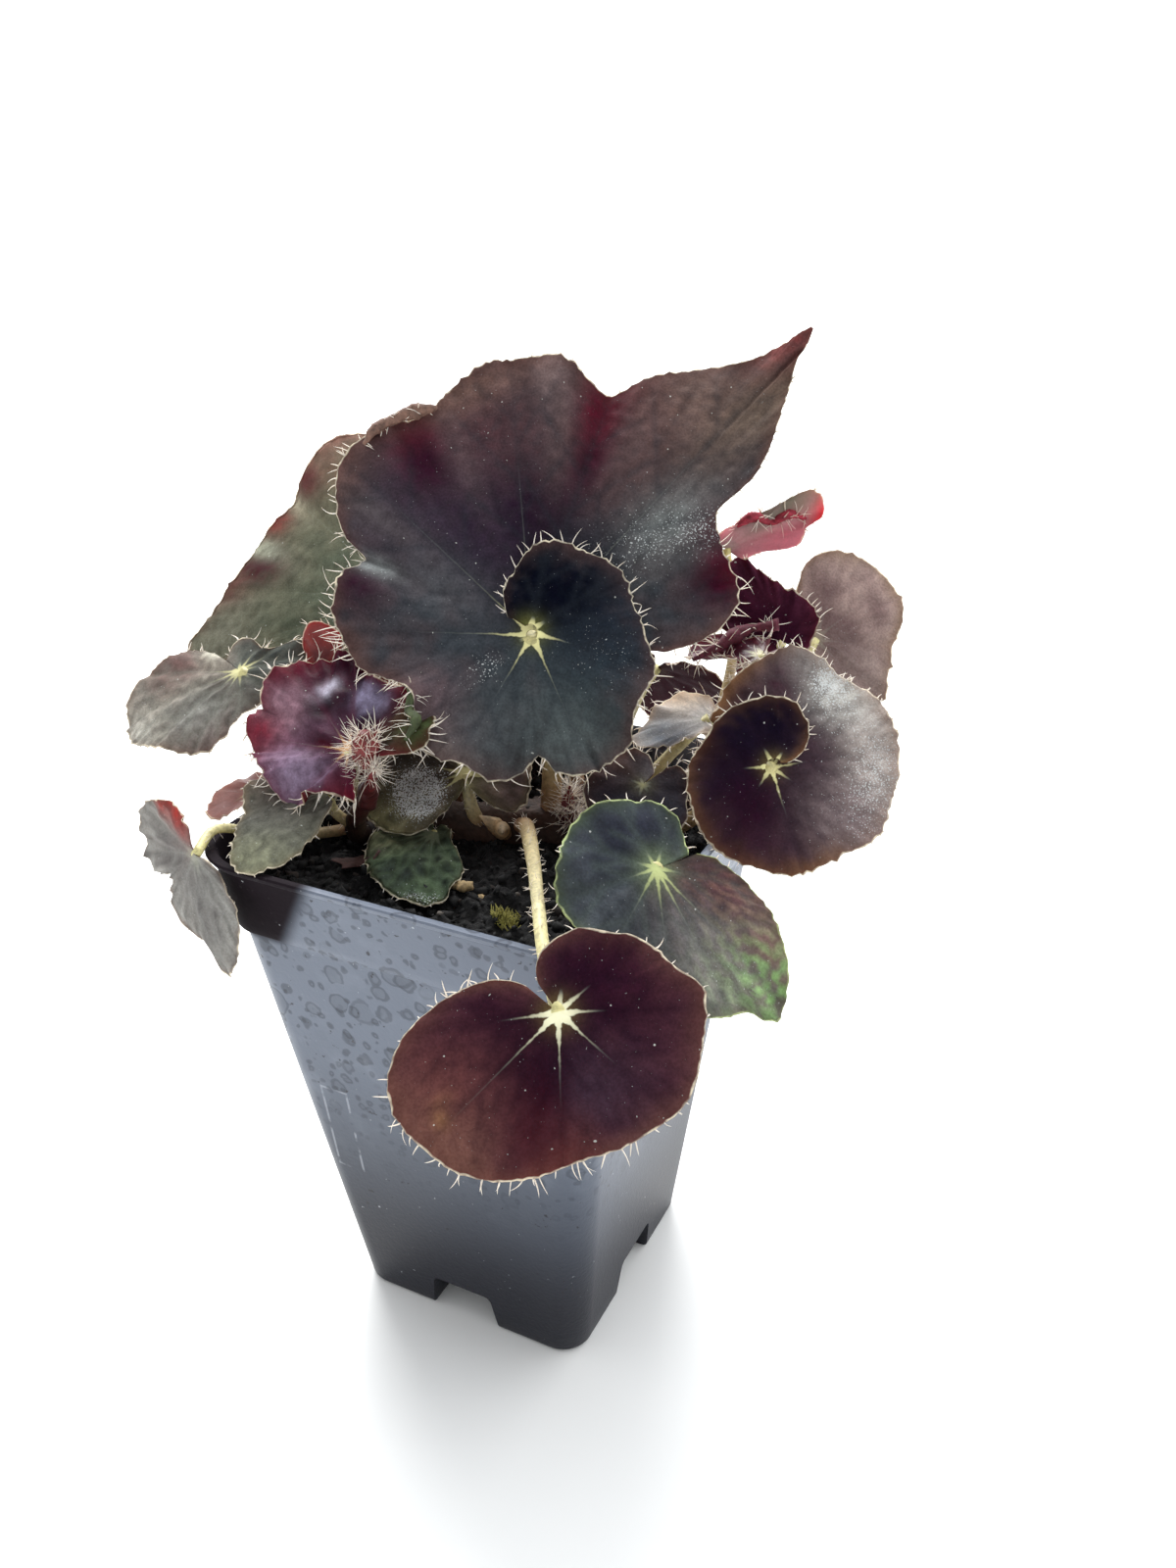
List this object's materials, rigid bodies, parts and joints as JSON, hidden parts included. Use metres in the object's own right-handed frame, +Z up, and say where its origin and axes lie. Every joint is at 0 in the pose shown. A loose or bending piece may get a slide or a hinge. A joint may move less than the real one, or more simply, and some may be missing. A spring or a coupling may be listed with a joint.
{
  "type": "potted black mamba begonia",
  "caption": "Rhizomatous foliage begonia with dark, lopsided, hair-fringed leaves on pale stalks, growing in a square tapering nursery pot filled with potting mix.",
  "frame": {"origin": "middle of the whole object's own box, on the surface that the pot stands on", "axes": "+Z up; the pot's wide visible face looks to -Y and its narrow visible face to +X"},
  "size_m": [0.1814, 0.1656, 0.2179],
  "materials": {
    "pot": "moulded, satin, dusty, with dried water spots and scuffs",
    "soil": "loose damp potting mix with bark and grit",
    "rhizome": "knobbly, scarred, matt",
    "shoot": "tender red buds with long pale hairs",
    "bud_scale": "papery, translucent",
    "stalk": "juicy, slightly translucent, with pale hairs",
    "leaf_slate": "velvety slate green to burgundy with a thin pale margin",
    "leaf_maroon": "velvety near black maroon with a pale star at the stalk",
    "leaf_olive": "mottled olive green with a red brown margin",
    "leaf_silver": "silvery grey bloom, tan margin",
    "leaf_young": "young, shiny, red to purple, translucent"
  },
  "bodies": {
    "root": {"pot": "pot", "soil": "soil", "rhizome": "rhizome", "shoot_right": "shoot", "shoot_left": "shoot", "bud_front": "shoot", "stipules": "bud_scale", "leaf_top": "leaf_slate", "stalk_top": "stalk", "leaf_back_left": "leaf_olive", "stalk_back_left": "stalk", "leaf_left": "leaf_slate", "stalk_left": "stalk", "leaf_glossy_young": "leaf_young", "stalk_glossy_young": "stalk", "leaf_tiny_red": "leaf_young", "stalk_tiny_red": "stalk", "leaf_hanging_left": "leaf_silver", "stalk_hanging_left": "stalk", "leaf_rim_left": "leaf_olive", "stalk_rim_left": "stalk", "leaf_tuck_left": "leaf_young", "stalk_tuck_left": "stalk", "leaf_kidney": "leaf_olive", "stalk_kidney": "stalk", "leaf_soil_green": "leaf_olive", "stalk_soil_green": "stalk", "leaf_front": "leaf_maroon", "stalk_front": "stalk", "leaf_right_front": "leaf_slate", "stalk_right_front": "stalk", "leaf_right_spiral": "leaf_maroon", "stalk_right_spiral": "stalk", "leaf_right_back": "leaf_silver", "stalk_right_back": "stalk", "leaf_dark_maroon": "leaf_maroon", "stalk_dark_maroon": "stalk", "leaf_rolled_young": "leaf_young", "stalk_rolled_young": "stalk", "leaf_low_right": "leaf_slate", "stalk_low_right": "stalk", "leaf_silver": "leaf_silver", "stalk_silver": "stalk", "leaf_ruffle": "leaf_young", "stalk_ruffle": "stalk", "leaf_rear_left": "leaf_maroon", "stalk_rear_left": "stalk", "leaf_rear_middle": "leaf_maroon", "stalk_rear_middle": "stalk", "leaf_rear_far_left": "leaf_olive", "stalk_rear_far_left": "stalk"}
  },
  "joints": []
}
